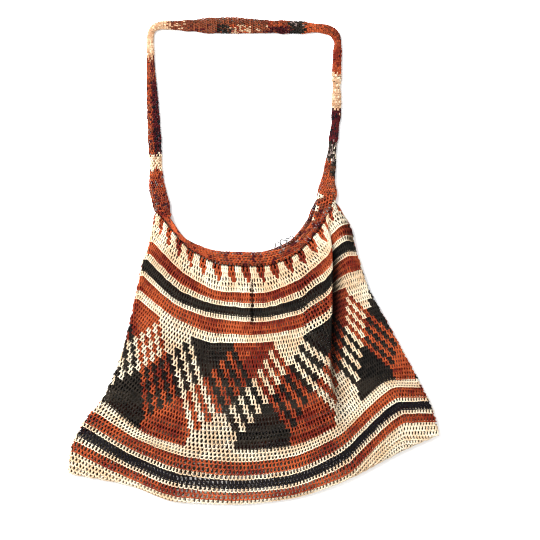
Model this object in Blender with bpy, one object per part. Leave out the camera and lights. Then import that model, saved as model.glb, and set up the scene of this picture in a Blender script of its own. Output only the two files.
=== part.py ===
"""Bilum string bag, empty and lying on its back: a looped pouch, its mouth band and its strap.

X runs across the bag, Y from the hem towards the strap, and Z up from the surface it lies on.
The tables are in millimetres. The pouch is worked out from its courses, the rows of loops that
run across it from the mouth to the hem. Each course crosses nine wales, and between the lip
wale and the brow wale the cloth drops into a deep pleat.
"""

import math

import bmesh
import bpy
from mathutils import Vector

MM = 0.001

SHEET = 2.0  # thickness of the looped cloth
FOLD_R = 5.0  # radius of the side folds and of the bottom fold
SEAM_GAP = 0.8  # clearance between the mouth band and the pouch
BAND_PEEK = 6.0  # how far the back of the mouth band shows above its front
STRAP_STEP = 7.0  # spacing of the strap's sections
STRAP_FLAT = 0.62  # flat share of the strap's width and thickness, the rest is rounded

SPREAD_WALES = 6  # the first six wales are spread evenly from the left edge to the pleat's lip
WALE_DIVISIONS = (4, 4, 4, 4, 4, 4, 4, 4)  # columns of the sheet between two wales
COURSE_DIVISIONS = (1, 2, 1, 1, 1, 3, 3, 1, 1, 1, 1)  # rows of the sheet between two courses
FOLD_DIVISIONS = 4  # segments round half of a side fold or of the bottom fold

# Where each course meets the left edge, the lip, foot and brow of the pleat, and the right edge.
COURSE_X = (
    # course          left    lip   foot   brow  right
    ("mouth seam",   -118.2,  85.8,  88.8,  93.0,  99.0),
    ("tooth foot",   -120.6,  88.2,  91.2,  97.8, 105.0),
    ("upper rust",   -126.8,  93.0,  95.4, 108.0, 117.6),
    ("upper black",  -134.4,  93.0,  96.0, 111.6, 122.4),
    ("second rust",  -138.6,  93.0,  96.0, 114.6, 127.8),
    ("diamond top",  -143.0,  92.4,  96.0, 115.8, 135.6),
    ("diamond mid",  -157.2,  90.6,  95.4, 133.8, 166.2),
    ("diamond foot", -183.6,  97.8, 106.2, 162.6, 196.8),
    ("lower rust",   -199.8,  99.0, 109.8, 172.2, 204.6),
    ("lower black",  -210.0, 101.4, 112.2, 175.8, 213.0),
    ("last rust",    -219.0, 103.8, 114.6, 183.0, 217.8),
    ("hem",          -222.3, 107.4, 118.2, 181.8, 222.3),
)

# How high up the bag each course lies on the nine wales.
COURSE_Y = (
    # course           left  first second  third fourth    lip   foot   brow  right
    ("mouth seam",     57.0,  12.6,  -4.2,  -6.0,   5.4,  49.8,  58.2,  66.6,  73.8),
    ("tooth foot",     43.8,  -0.6, -18.6, -19.8,  -7.8,  34.2,  45.0,  57.0,  59.4),
    ("upper rust",     14.8, -24.6, -43.3, -45.0, -30.0,   5.4,  20.4,  36.6,  37.2),
    ("upper black",    -6.6, -45.8, -58.6, -63.0, -54.6, -21.6,  -0.6,  15.6,  15.0),
    ("second rust",   -28.8, -63.6, -78.8, -82.0, -74.4, -45.0, -24.6,  -3.6,  -2.4),
    ("diamond top",   -47.6, -82.5, -99.8, -99.6, -94.8, -66.0, -44.4, -33.0, -27.6),
    ("diamond mid",  -107.4, -147.0, -162.4, -163.6, -158.4, -132.6, -118.2, -93.0, -84.6),
    ("diamond foot", -168.6, -208.2, -222.6, -225.6, -221.4, -197.4, -191.4, -142.2, -141.6),
    ("lower rust",   -186.6, -219.6, -240.6, -247.2, -241.2, -216.6, -209.4, -155.4, -156.6),
    ("lower black",  -204.0, -239.4, -262.0, -268.2, -263.4, -237.0, -229.8, -173.4, -173.4),
    ("last rust",    -223.2, -253.2, -277.0, -281.4, -276.0, -253.8, -247.8, -187.8, -187.8),
    ("hem",          -256.2, -268.2, -289.8, -291.6, -285.0, -264.6, -259.8, -226.8, -210.6),
)

# How high the front of the bag stands off the surface: its belly, and the pleat beside it.
COURSE_Z = (
    # course         belly   lip  foot  brow
    ("mouth seam",    11.0, 11.0, 11.0, 10.5),
    ("tooth foot",    12.0, 12.5, 11.0, 11.0),
    ("upper rust",    14.0, 17.0,  8.0, 13.0),
    ("upper black",   15.0, 19.0,  7.5, 14.0),
    ("second rust",   15.5, 20.0,  7.5, 14.5),
    ("diamond top",   16.0, 20.0,  7.5, 15.0),
    ("diamond mid",   17.0, 18.0,  8.5, 17.0),
    ("diamond foot",  16.0, 15.0, 12.0, 17.0),
    ("lower rust",    15.0, 14.0, 12.5, 17.0),
    ("lower black",   14.0, 13.0, 12.5, 16.0),
    ("last rust",     12.0, 12.0, 12.0, 14.0),
    ("hem",           10.0, 10.0, 10.0, 10.0),
)

# The front of the mouth band reaches from the mouth seam up to this edge.
BAND_EDGE = (
    # wale        x      y
    ("left",   -99.6,  60.6),
    ("first",  -77.4,  24.0),
    ("second", -36.6,   9.6),
    ("third",    4.2,   8.4),
    ("fourth",  42.6,  16.2),
    ("lip",     70.2,  45.6),
    ("foot",    73.2,  54.6),
    ("brow",    76.2,  64.2),
    ("right",   78.0,  75.0),
)

# Soft creases pressed into the front: where each starts and ends, its half width and its depth.
CREASES = (
    # crease            x0     y0     x1     y1  half  depth
    ("middle pinch",  -1.8,  -8.0,  -1.8, -80.0,  7.0,  2.2),
    ("left dent",    -94.0, -20.0, -98.0, -70.0,  9.0,  1.6),
    ("right tuck",    63.0, -24.0,  58.0, -82.0,  8.0,  1.8),
)

# The strap's middle line from the left of the mouth, over the top, to the right of the mouth.
STRAP_LINE = (
    # place              x      y   wide  thick
    ("left foot",    -109.6,  63.5, 20.4,  9.0),
    ("left root",    -111.8,  72.0, 20.4,  7.5),
    ("left splay",   -115.8,  90.0, 20.0,  6.0),
    ("left waist",   -116.6, 106.0, 15.2,  5.5),
    ("left lower",   -117.6, 127.0, 15.6,  5.5),
    ("left middle",  -119.0, 155.0, 15.4,  5.5),
    ("left upper",   -121.2, 196.0, 13.0,  5.0),
    ("left thin",    -123.4, 242.0,  8.6,  5.0),
    ("left corner",  -123.6, 267.0,  6.4,  5.0),
    ("left turn",    -119.6, 278.4,  7.2,  5.0),
    ("top start",    -107.0, 282.0,  9.0,  5.0),
    ("top left",      -70.0, 281.4, 15.2,  5.5),
    ("top middle",    -30.0, 281.8, 19.2,  5.5),
    ("top right",      18.0, 280.2, 16.6,  5.5),
    ("top end",        80.0, 278.2, 11.4,  5.0),
    ("right turn",     96.0, 272.6,  9.6,  5.0),
    ("right corner",  101.0, 259.0,  8.6,  5.0),
    ("right upper",    99.8, 226.0, 10.8,  5.0),
    ("right middle",   99.6, 184.0, 10.8,  5.0),
    ("right thin",     95.4, 142.0,  9.8,  5.0),
    ("right lower",    91.2, 108.0, 14.6,  6.0),
    ("right root",     88.6,  90.0, 20.0,  7.5),
    ("right foot",     88.2,  79.9, 23.0,  9.0),
)

FINISHES = {
    # node               red    green  blue   rough
    "bag_body":        (0.520, 0.330, 0.200, 0.90),
    "mouth_band":      (0.420, 0.100, 0.035, 0.90),
    "carrying_strap":  (0.330, 0.085, 0.040, 0.90),
}


def clear_scene():
    for old in list(bpy.data.objects):
        bpy.data.objects.remove(old, do_unlink=True)


def finish(name):
    red, green, blue, rough = FINISHES[name]
    material = bpy.data.materials.new(name + "_yarn")
    material.use_nodes = True
    shader = material.node_tree.nodes["Principled BSDF"]
    shader.inputs["Base Color"].default_value = (red, green, blue, 1.0)
    shader.inputs["Roughness"].default_value = rough
    shader.inputs["Metallic"].default_value = 0.0
    return material


def smooth_slopes(values):
    """Slopes of a curve through evenly spaced values that never overshoots them."""
    steps = [b - a for a, b in zip(values, values[1:])]
    inner = [2.0 * a * b / (a + b) if a * b > 0.0 else 0.0 for a, b in zip(steps, steps[1:])]
    return [steps[0]] + inner + [steps[-1]]


def smooth_value(values, place):
    """Value of that curve at a place counted in steps from its first value."""
    index = min(int(place), len(values) - 2)
    u = place - index
    slopes = smooth_slopes(values)
    start = values[index] * (1.0 + 2.0 * u) * (1.0 - u) ** 2 + slopes[index] * u * (1.0 - u) ** 2
    end = values[index + 1] * u * u * (3.0 - 2.0 * u) + slopes[index + 1] * u * u * (u - 1.0)
    return start + end


def places(divisions):
    """Places along a row of stations, with each interval cut into its number of divisions."""
    found = [index + part / count for index, count in enumerate(divisions) for part in range(count)]
    return found + [float(len(divisions))]


def wale_values(row):
    """The x, y and z of one course on its nine wales, inset to where the folds begin."""
    left, lip, foot, brow, right = COURSE_X[row][1:]
    left += FOLD_R
    right -= FOLD_R
    spread = [left + (lip - left) * k / (SPREAD_WALES - 1) for k in range(SPREAD_WALES)]
    heights = list(COURSE_Y[row][1:])
    belly, lip_z, foot_z, brow_z = COURSE_Z[row][1:]
    edge = 2.0 * FOLD_R
    stand = [edge, 0.4 * edge + 0.6 * belly, belly, belly, 0.5 * (belly + lip_z)]
    return spread + [foot, brow, right], heights, stand + [lip_z, foot_z, brow_z, edge]


def crease_depth(x, y):
    """How far the creases press the front down at a point of it."""
    depth = 0.0
    for _, x0, y0, x1, y1, half, deep in CREASES:
        run = Vector((x1 - x0, y1 - y0))
        away = Vector((x - x0, y - y0))
        along = away.dot(run) / run.length_squared
        if 0.0 < along < 1.0:
            side = abs(away.x * run.y - away.y * run.x) / run.length
            fade = math.sin(math.pi * along)
            depth += deep * fade * math.exp(-((side / half) ** 2))
    return depth


def front_grid():
    """Points of the front, a row for each course line and a column for each wale line."""
    stations = [wale_values(row) for row in range(len(COURSE_X))]
    grid = []
    for down in places(COURSE_DIVISIONS):
        wales = []
        for axis in range(3):
            lines = zip(*(station[axis] for station in stations))
            wales.append([smooth_value(list(line), down) for line in lines])
        row = []
        for across in places(WALE_DIVISIONS):
            x, y, z = (smooth_value(values, across) for values in wales)
            row.append(Vector((x, y, z - crease_depth(x, y))))
        grid.append(row)
    for point in grid[-1]:
        point.y += FOLD_R
    return grid


def peek(across):
    """How far the back of the mouth lies beyond its front: nothing at the left, most at the right."""
    share = smooth_value([0.0, 0.0, 0.0, 0.1, 0.8, 1.0, 0.9, 0.6, 0.0], across)
    return Vector((-0.7, 0.7, 0.0)) * BAND_PEEK * share


def side_fold(front, sign):
    """Points round a side fold, from the front edge to the back edge under it."""
    fold = []
    for step in range(1, 2 * FOLD_DIVISIONS):
        turn = math.pi * step / (2 * FOLD_DIVISIONS)
        out = Vector((sign * math.sin(turn), 0.0, math.cos(turn) - 1.0))
        fold.append(front + FOLD_R * out)
    return fold


def pouch_ring(front, lean):
    """One closed ring round the pouch: front, right fold, back and left fold."""
    back = [Vector((point.x, point.y, 0.0)) + shift for point, shift in zip(front, lean)]
    right = side_fold(front[-1], 1.0)
    left = side_fold(front[0], -1.0)
    return front + right + back[::-1] + left[::-1]


def pouch_rings():
    """All rings from the mouth down, and those that close the bottom fold."""
    columns = places(WALE_DIVISIONS)
    grid = front_grid()
    mouth_rows = sum(COURSE_DIVISIONS[:3])
    rings = []
    for index, front in enumerate(grid):
        share = max(0.0, 1.0 - index / mouth_rows)
        lean = [peek(across) * share for across in columns]
        rings.append(pouch_ring(front, lean))
    middle = FOLD_R
    last = rings[-1]
    for step in range(1, FOLD_DIVISIONS + 1):
        turn = 0.5 * math.pi * step / FOLD_DIVISIONS
        ring = []
        for point in last:
            z = middle + (point.z - middle) * math.cos(turn)
            ring.append(Vector((point.x, point.y - FOLD_R * math.sin(turn), z)))
        rings.append(ring)
    return rings


def ring_mesh(name, rings):
    """A skin over closed rings of equal count, welded where its last ring closes on itself."""
    mesh = bpy.data.meshes.new(name)
    bm = bmesh.new()
    rows = [[bm.verts.new(point * MM) for point in ring] for ring in rings]
    count = len(rows[0])
    for upper, lower in zip(rows, rows[1:]):
        for a in range(count):
            b = (a + 1) % count
            bm.faces.new((upper[a], lower[a], lower[b], upper[b]))
    bmesh.ops.remove_doubles(bm, verts=bm.verts, dist=0.0001)
    bm.to_mesh(mesh)
    bm.free()
    return mesh


def cloth_object(name, mesh):
    """A node of cloth: the skin is its outer side and the thickness lies within."""
    mesh.shade_smooth()
    mesh.materials.append(finish(name))
    piece = bpy.data.objects.new(name, mesh)
    bpy.context.scene.collection.objects.link(piece)
    return piece


def thicken(piece):
    solidify = piece.modifiers.new("cloth thickness", "SOLIDIFY")
    solidify.thickness = SHEET * MM
    solidify.offset = -1.0
    solidify.use_even_offset = True
    solidify.thickness_clamp = 0.0


def bag_body():
    thicken(cloth_object("bag_body", ring_mesh("bag_body", pouch_rings())))


def band_pairs():
    """Lower and upper edge of the front of the mouth band, from its left end to its right end."""
    seam = wale_values(0)
    upper_x = [x for _, x, _ in BAND_EDGE]
    upper_y = [y for _, _, y in BAND_EDGE]
    pairs = []
    for across in places(WALE_DIVISIONS):
        low = Vector([smooth_value(values, across) for values in seam])
        high = Vector((smooth_value(upper_x, across), smooth_value(upper_y, across), low.z))
        up = (high - low).normalized()
        pairs.append((low + up * SEAM_GAP, high))
    return pairs


def end_turn(pair, sign):
    """The band's end, turned over from its front down to its back."""
    low, high = pair
    across = (high - low).normalized()
    away = Vector((-across.y, across.x, 0.0)) * sign
    turned = []
    for step in range(1, 2 * FOLD_DIVISIONS):
        turn = math.pi * step / (2 * FOLD_DIVISIONS)
        out = away * FOLD_R * math.sin(turn)
        turned.append(tuple(Vector((p.x, p.y, p.z * 0.5 * (1.0 + math.cos(turn)))) + out for p in pair))
    return turned


def mouth_band():
    front = band_pairs()
    back = []
    for (low, high), across in zip(front, places(WALE_DIVISIONS)):
        lean = peek(across)
        back.append((Vector((low.x, low.y, 0.0)) + lean, Vector((high.x, high.y, 0.0)) + lean))
    loop = front + end_turn(front[-1], -1.0) + back[::-1] + end_turn(front[0], 1.0)[::-1]
    rings = [[high for _, high in loop], [low for low, _ in loop]]
    thicken(cloth_object("mouth_band", ring_mesh("mouth_band", rings)))


def strap_stations():
    """The strap's sections at an even spacing: middle point, width and thickness."""
    columns = list(zip(*STRAP_LINE))[1:]
    fine = [step / 20.0 for step in range(20 * (len(STRAP_LINE) - 1) + 1)]
    points = [[smooth_value(list(column), place) for column in columns] for place in fine]
    stations = [points[0]]
    walked = 0.0
    for before, after in zip(points, points[1:]):
        walked += math.dist(before[:2], after[:2])
        if walked >= STRAP_STEP:
            stations.append(after)
            walked = 0.0
    stations[-1] = points[-1]
    return stations


def strap_section(wide, thick):
    """Outline of the strap across its run, a flat band with rounded edges, resting at z = 0."""
    half = 0.5 * wide
    flat = half * STRAP_FLAT
    rise = 0.5 * thick * (1.0 - STRAP_FLAT)
    return [(-flat, 0.0), (flat, 0.0), (half, rise), (half, thick - rise),
            (flat, thick), (-flat, thick), (-half, thick - rise), (-half, rise)]


def carrying_strap():
    stations = strap_stations()
    mesh = bpy.data.meshes.new("carrying_strap")
    bm = bmesh.new()
    rows = []
    for index, (x, y, wide, thick) in enumerate(stations):
        before = stations[max(index - 1, 0)]
        after = stations[min(index + 1, len(stations) - 1)]
        run = Vector((after[0] - before[0], after[1] - before[1])).normalized()
        row = []
        for side, height in strap_section(wide, thick):
            row.append(bm.verts.new(Vector((x + run.y * side, y - run.x * side, height)) * MM))
        rows.append(row)
    for near, far in zip(rows, rows[1:]):
        for a in range(len(near)):
            b = (a + 1) % len(near)
            bm.faces.new((near[a], near[b], far[b], far[a]))
    bm.faces.new(rows[0][::-1])
    bm.faces.new(rows[-1])
    bmesh.ops.recalc_face_normals(bm, faces=bm.faces)
    bm.to_mesh(mesh)
    bm.free()
    cloth_object("carrying_strap", mesh)


clear_scene()
bag_body()
mouth_band()
carrying_strap()
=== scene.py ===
"""Bilum string bag: a looped net of spun yarn, laid over the folds of its frame, with its strap.

Lengths are in millimetres and become metres in the meshes. Every piece of cloth is made of real
yarn: a row of loops is one strand, swept as a tube, and each loop hangs through the row above.
On the pouch, u counts wales (loops along a row) and v counts rows from the mouth to the hem.
"""

import math

import bpy
import numpy as np
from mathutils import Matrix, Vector


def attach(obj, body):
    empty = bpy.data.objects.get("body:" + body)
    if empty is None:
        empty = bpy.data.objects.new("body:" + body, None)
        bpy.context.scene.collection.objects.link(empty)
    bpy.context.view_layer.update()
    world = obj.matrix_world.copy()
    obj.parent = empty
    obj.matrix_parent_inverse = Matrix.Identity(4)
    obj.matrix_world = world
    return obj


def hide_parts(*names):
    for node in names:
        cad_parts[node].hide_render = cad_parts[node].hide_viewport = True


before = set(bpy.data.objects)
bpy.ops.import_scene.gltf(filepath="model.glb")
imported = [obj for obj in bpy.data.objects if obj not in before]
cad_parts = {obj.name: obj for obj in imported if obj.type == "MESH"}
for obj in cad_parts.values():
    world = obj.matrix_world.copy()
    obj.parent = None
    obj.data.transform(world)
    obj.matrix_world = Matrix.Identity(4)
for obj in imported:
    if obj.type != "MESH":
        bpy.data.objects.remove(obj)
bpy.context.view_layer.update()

MM = 0.001
TURN = 2.0 * math.pi

# ---------------- shape of the bag, as in its frame

FOLD_R = 5.0  # radius of the side folds and of the bottom fold
FRONT_SINK = 1.0  # the front's yarn is centred this far under the frame's outer side
BACK_LIFT = 1.9  # height of the middle of the back's yarn over the surface
FOLD_MIDDLE = 5.4  # height of the middle of the side folds and the bottom fold
FOLD_OUT = 4.0  # how far the folds reach past the flat cloth
FOLD_STEPS = 8  # steps round the half turn of a fold

# Nine wales and twelve courses are listed, and smooth curves join them.
WALE_SPANS, COURSE_SPANS = 8, 11

# Where each course meets the left edge, the lip, foot and brow of the pleat, and the right edge.
COURSE_X = (
    # course          left    lip   foot   brow  right
    ("mouth seam",   -118.2,  85.8,  88.8,  93.0,  99.0),
    ("tooth foot",   -120.6,  88.2,  91.2,  97.8, 105.0),
    ("upper rust",   -126.8,  93.0,  95.4, 108.0, 117.6),
    ("upper black",  -134.4,  93.0,  96.0, 111.6, 122.4),
    ("second rust",  -138.6,  93.0,  96.0, 114.6, 127.8),
    ("diamond top",  -143.0,  92.4,  96.0, 115.8, 135.6),
    ("diamond mid",  -157.2,  90.6,  95.4, 133.8, 166.2),
    ("diamond foot", -183.6,  97.8, 106.2, 162.6, 196.8),
    ("lower rust",   -199.8,  99.0, 109.8, 172.2, 204.6),
    ("lower black",  -210.0, 101.4, 112.2, 175.8, 213.0),
    ("last rust",    -219.0, 103.8, 114.6, 183.0, 217.8),
    ("hem",          -222.3, 107.4, 118.2, 181.8, 222.3),
)

# How high up the bag each course lies on the nine wales.
COURSE_Y = (
    # course           left  first second  third fourth    lip   foot   brow  right
    ("mouth seam",     57.0,  12.6,  -4.2,  -6.0,   5.4,  49.8,  58.2,  66.6,  73.8),
    ("tooth foot",     43.8,  -0.6, -18.6, -19.8,  -7.8,  34.2,  45.0,  57.0,  59.4),
    ("upper rust",     14.8, -24.6, -43.3, -45.0, -30.0,   5.4,  20.4,  36.6,  37.2),
    ("upper black",    -6.6, -45.8, -58.6, -63.0, -54.6, -21.6,  -0.6,  15.6,  15.0),
    ("second rust",   -28.8, -63.6, -78.8, -82.0, -74.4, -45.0, -24.6,  -3.6,  -2.4),
    ("diamond top",   -47.6, -82.5, -99.8, -99.6, -94.8, -66.0, -44.4, -33.0, -27.6),
    ("diamond mid",  -107.4, -147.0, -162.4, -163.6, -158.4, -132.6, -118.2, -93.0, -84.6),
    ("diamond foot", -168.6, -208.2, -222.6, -225.6, -221.4, -197.4, -191.4, -142.2, -141.6),
    ("lower rust",   -186.6, -219.6, -240.6, -247.2, -241.2, -216.6, -209.4, -155.4, -156.6),
    ("lower black",  -204.0, -239.4, -262.0, -268.2, -263.4, -237.0, -229.8, -173.4, -173.4),
    ("last rust",    -223.2, -253.2, -277.0, -281.4, -276.0, -253.8, -247.8, -187.8, -187.8),
    ("hem",          -256.2, -268.2, -289.8, -291.6, -285.0, -264.6, -259.8, -226.8, -210.6),
)

# How high the front of the bag stands off the surface: its belly, and the pleat beside it.
COURSE_Z = (
    # course         belly   lip  foot  brow
    ("mouth seam",    11.0, 11.0, 11.0, 10.5),
    ("tooth foot",    12.0, 12.5, 11.0, 11.0),
    ("upper rust",    14.0, 17.0,  8.0, 13.0),
    ("upper black",   15.0, 19.0,  7.5, 14.0),
    ("second rust",   15.5, 20.0,  7.5, 14.5),
    ("diamond top",   16.0, 20.0,  7.5, 15.0),
    ("diamond mid",   17.0, 18.0,  8.5, 17.0),
    ("diamond foot",  16.0, 15.0, 12.0, 17.0),
    ("lower rust",    15.0, 14.0, 12.5, 17.0),
    ("lower black",   14.0, 13.0, 12.5, 16.0),
    ("last rust",     12.0, 12.0, 12.0, 14.0),
    ("hem",           10.0, 10.0, 10.0, 10.0),
)

# The row of loops that lies on each course, down to the last rust stripe.
COURSE_ROWS = (0.0, 2.4, 6.6, 9.6, 13.2, 16.9, 29.0, 40.5, 45.0, 48.6, 51.6)
HEM_PITCH = 5.4  # spacing of the rows past the last rust stripe
ROWS, WALES = 60, 112  # rows of the front and of the back, and loops across them

# How far along its course each yarn wale lies: at the mouth, and at the top and foot of the
# diamond band. The pleat hides more of them at the top.
MOUTH_PLACES = (
    # wale  share
    (0.0, 0.0), (9.9, 0.066), (16.5, 0.128), (29.6, 0.251), (42.8, 0.381), (56.0, 0.502),
    (69.2, 0.624), (82.4, 0.749), (88.9, 0.814), (95.5, 0.868), (102.1, 0.914), (112.0, 1.0),
)
BAND_TOP_PLACES = (
    (0.0, 0.0), (14.0, 0.127), (26.0, 0.260), (32.0, 0.318), (43.0, 0.422), (59.0, 0.562),
    (70.0, 0.663), (79.0, 0.782), (86.0, 0.835), (102.0, 0.923), (112.0, 1.0),
)
BAND_FOOT_PLACES = (
    (0.0, 0.0), (14.0, 0.129), (26.0, 0.233), (32.0, 0.286), (43.0, 0.416), (59.0, 0.574),
    (70.0, 0.667), (80.0, 0.760), (112.0, 1.0),
)

# The front of the mouth band reaches from the mouth seam up to this edge.
BAND_EDGE = (
    # wale        x      y
    ("left",  -101.4,  51.0),
    ("first",  -79.6,  23.8),
    ("second", -36.6,   9.6),
    ("third",    4.2,   8.4),
    ("fourth",  42.6,  16.2),
    ("lip",     70.2,  45.6),
    ("foot",    73.2,  54.6),
    ("brow",    76.2,  64.2),
    ("right",   78.0,  75.0),
)

# Soft creases pressed into the front: where each starts and ends, its half width and its depth.
CREASES = (
    # crease            x0     y0     x1     y1  half  depth
    ("left dent",    -94.0, -20.0, -98.0, -70.0,  9.0,  1.6),
    ("right tuck",    63.0, -24.0,  58.0, -82.0,  8.0,  1.8),
)
# The sharp pinch below the middle of the mouth, and the painted shade in it.
PINCH_X, PINCH_TOP, PINCH_FOOT, PINCH_FADE = -1.2, -28.0, -73.0, 10.0
PINCH_HALF, PINCH_DEEP, PINCH_SHADE = 2.0, 5.0, 3.6
# The tuck on the right is a step up in the rows, from its left side to its right.
TUCK_X, TUCK_TOP, TUCK_FOOT, TUCK_REACH, TUCK_RISE = 64.0, -8.0, -100.0, 16.0, 1.8
TUCK_SHARP = 4.5  # how suddenly it steps up
# The pleat lies between these, and shade is painted on the cloth beside its foot where the lip
# stands high.
PLEAT_LEFT, PLEAT_RIGHT = 80.8, 120.0
PLEAT_SHADE, PLEAT_REACH = 3.0, 14.0  # how dark the painted shade of the pleat gets, and how far from its foot
PLEAT_ASIDE = 2.0  # how far right of the foot it is darkest
PLEAT_DROP = 12.0  # drop from the lip to the foot at which it is as dark as it gets

# The strap's middle line from the left of the mouth, over the top, to the right of the mouth.
STRAP_LINE = (
    # place              x      y   wide  thick
    ("left end",     -107.0,  54.0, 17.0,  7.0),
    ("left foot",    -109.6,  63.5, 20.4,  9.0),
    ("left root",    -111.8,  72.0, 20.4,  7.5),
    ("left splay",   -115.8,  90.0, 20.0,  6.0),
    ("left waist",   -116.6, 106.0, 15.2,  5.5),
    ("left lower",   -117.6, 127.0, 15.6,  5.5),
    ("left middle",  -119.0, 155.0, 15.4,  5.5),
    ("left upper",   -121.2, 196.0, 13.0,  5.0),
    ("left thin",    -123.4, 242.0,  8.6,  5.0),
    ("left corner",  -123.6, 267.0,  6.4,  5.0),
    ("left turn",    -119.6, 278.4,  7.2,  5.0),
    ("top start",    -107.0, 282.0,  9.0,  5.0),
    ("top left",      -70.0, 281.4, 15.2,  5.5),
    ("top middle",    -30.0, 281.8, 19.2,  5.5),
    ("top right",      18.0, 280.2, 16.6,  5.5),
    ("top end",        80.0, 278.2, 11.4,  5.0),
    ("right turn",     96.0, 272.6,  9.6,  5.0),
    ("right corner",  101.0, 259.0,  8.6,  5.0),
    ("right upper",    99.8, 226.0, 10.8,  5.0),
    ("right middle",   99.6, 184.0, 10.8,  5.0),
    ("right thin",     95.4, 142.0,  9.8,  5.0),
    ("right lower",    91.2, 108.0, 14.6,  6.0),
    ("right root",     88.6,  90.0, 20.0,  7.5),
    ("right foot",     88.2,  79.9, 23.0,  9.0),
    ("right end",      86.8,  69.0, 20.0,  7.0),
)

# ---------------- colours of the work

# The yarns, in the order of the table of their tones.
CREAM, RUST, CHARCOAL, NAVY, MAROON, BROWN, GREY, TAN, UMBER = range(9)

# Each run of rows of one colour, from the mouth down. The diamond band lies between.
STRIPES = (
    # first last yarn
    (0, 5, CREAM),
    (6, 7, RUST),
    (8, 8, CREAM),
    (9, 10, CHARCOAL),
    (11, 11, CREAM),
    (12, 14, RUST),
    (15, 16, CREAM),
    (41, 43, CREAM),
    (44, 46, RUST),
    (47, 47, CREAM),
    (48, 49, NAVY),
    (50, 50, CREAM),
    (51, 52, RUST),
    (53, 60, CREAM),
)
BAND_FIRST, BAND_LAST = 17, 40
FLECK = 2  # stitches across, and rows down, one fleck of the band
# One repeat along the top of the band: the yarn of each run and the flecks it is wide.
REPEAT = ((CREAM, 6), (CHARCOAL, 8), (RUST, 8))
REPEAT_START = 14  # wale where a repeat starts
DRIFT = -0.19  # wales that each row's loops lie to the side of the row above, past the half step
TEETH = 17  # cream teeth along the front of the mouth
TOOTH_WEDGES = {1: 0.41, 2: 0.41, 3: 0.32}  # share of each row that is rust, between the teeth
LAST_CREAM = 108  # the last run of cream along the band ends here, and charcoal takes its place


def stripe_yarn(row):
    for first, last, yarn in STRIPES:
        if first <= row <= last:
            return yarn
    return CREAM


FLECK_YARNS = np.repeat([yarn for yarn, _ in REPEAT], [flecks for _, flecks in REPEAT])


def fleck_yarn(fleck):
    return FLECK_YARNS[(fleck - REPEAT_START // FLECK) % len(FLECK_YARNS)]


def diamond_yarn(row, stitch):
    """Two sets of slanting stripes, one leaning each way, worked in alternate flecks."""
    fleck = np.floor(stitch / FLECK).astype(int)
    down = (row - BAND_FIRST) // FLECK
    falling, rising = fleck_yarn(fleck - down), fleck_yarn(fleck + down)
    falling[(stitch > LAST_CREAM) & (rising == CHARCOAL) & (falling == CREAM)] = CHARCOAL
    return np.where((fleck + down) % 2 == 0, falling, rising)


def pouch_yarn(row, stitch, wale):
    if BAND_FIRST <= row <= BAND_LAST:
        return diamond_yarn(row, stitch)
    yarn = np.full(len(wale), stripe_yarn(row))
    tooth = (wale * TEETH / WALES) % 1.0
    yarn[np.abs(tooth - 0.5) > 0.5 - 0.5 * TOOTH_WEDGES.get(row, 0.0)] = RUST
    return yarn


# ---------------- curves and surfaces


def smooth(values, at):
    """Values on a curve through stations on the first axis, which never overshoots them."""
    values = np.asarray(values, float)
    steps = np.diff(values, axis=0)
    product = steps[:-1] * steps[1:]
    total = np.where(product > 0.0, steps[:-1] + steps[1:], 1.0)
    inner = np.where(product > 0.0, 2.0 * product / total, 0.0)
    slopes = np.concatenate([steps[:1], inner, steps[-1:]])
    at = np.asarray(at, float)
    index = np.clip(at.astype(int), 0, len(values) - 2)
    u = (at - index).reshape((-1,) + (1,) * (values.ndim - 1))
    start = values[index] * (1.0 + 2.0 * u) * (1.0 - u) ** 2 + slopes[index] * u * (1.0 - u) ** 2
    end = values[index + 1] * u * u * (3.0 - 2.0 * u) + slopes[index + 1] * u * u * (u - 1.0)
    return start + end


def lengths(points):
    """Distance walked along lines of points on the first axis."""
    steps = np.linalg.norm(np.diff(points, axis=0), axis=-1)
    return np.concatenate([np.zeros((1,) + steps.shape[1:]), np.cumsum(steps, axis=0)])


def resample(points, walked, wanted):
    """Points of one line at the wanted distances."""
    return np.stack([np.interp(wanted, walked, points[:, axis]) for axis in range(3)], 1)


def unit(vectors):
    return vectors / np.maximum(np.linalg.norm(vectors, axis=-1, keepdims=True), 1e-9)


SPREAD_WALES = 6  # how many of the nine wales spread evenly from the left edge to the lip
FOOT_UNDER = 3.0  # how far the pleat's foot lies under its lip
UNDER_COURSES = range(1, 7)  # the courses where it does, down to the middle of the diamond band
FIRST_RISE = 0.6  # share of the rise from the left edge to the belly that the first wale has made


def course_stations():
    """Points of each course where it crosses the nine wales."""
    stations = np.empty((len(COURSE_X), WALE_SPANS + 1, 3))
    edge = 2.0 * FOLD_R
    for course, (across, up, stand) in enumerate(zip(COURSE_X, COURSE_Y, COURSE_Z)):
        left, lip, foot, brow, right = across[1:]
        foot -= FOOT_UNDER if course in UNDER_COURSES else 0.0
        belly, lip_z, foot_z, brow_z = stand[1:]
        rise = (1.0 - FIRST_RISE) * edge + FIRST_RISE * belly
        slope = 0.5 * (belly + lip_z)
        spread = np.linspace(left + FOLD_R, lip, SPREAD_WALES)
        stations[course, :, 0] = [*spread, foot, brow, right - FOLD_R]
        stations[course, :, 1] = up[1:]
        stations[course, :, 2] = [edge, rise, belly, belly, slope, lip_z, foot_z, brow_z, edge]
    stations[-1, :, 1] += FOLD_R
    return stations


def crease_depth(x, y):
    """How deep the soft creases press the front in at these places."""
    depth = np.zeros_like(x)
    for _, x0, y0, x1, y1, half, deep in CREASES:
        run_x, run_y = x1 - x0, y1 - y0
        length = math.hypot(run_x, run_y)
        along = ((x - x0) * run_x + (y - y0) * run_y) / length**2
        side = ((x - x0) * run_y - (y - y0) * run_x) / length
        fade = np.sin(np.pi * np.clip(along, 0.0, 1.0))
        depth += deep * fade * np.exp(-((side / half) ** 2))
    return depth


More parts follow.
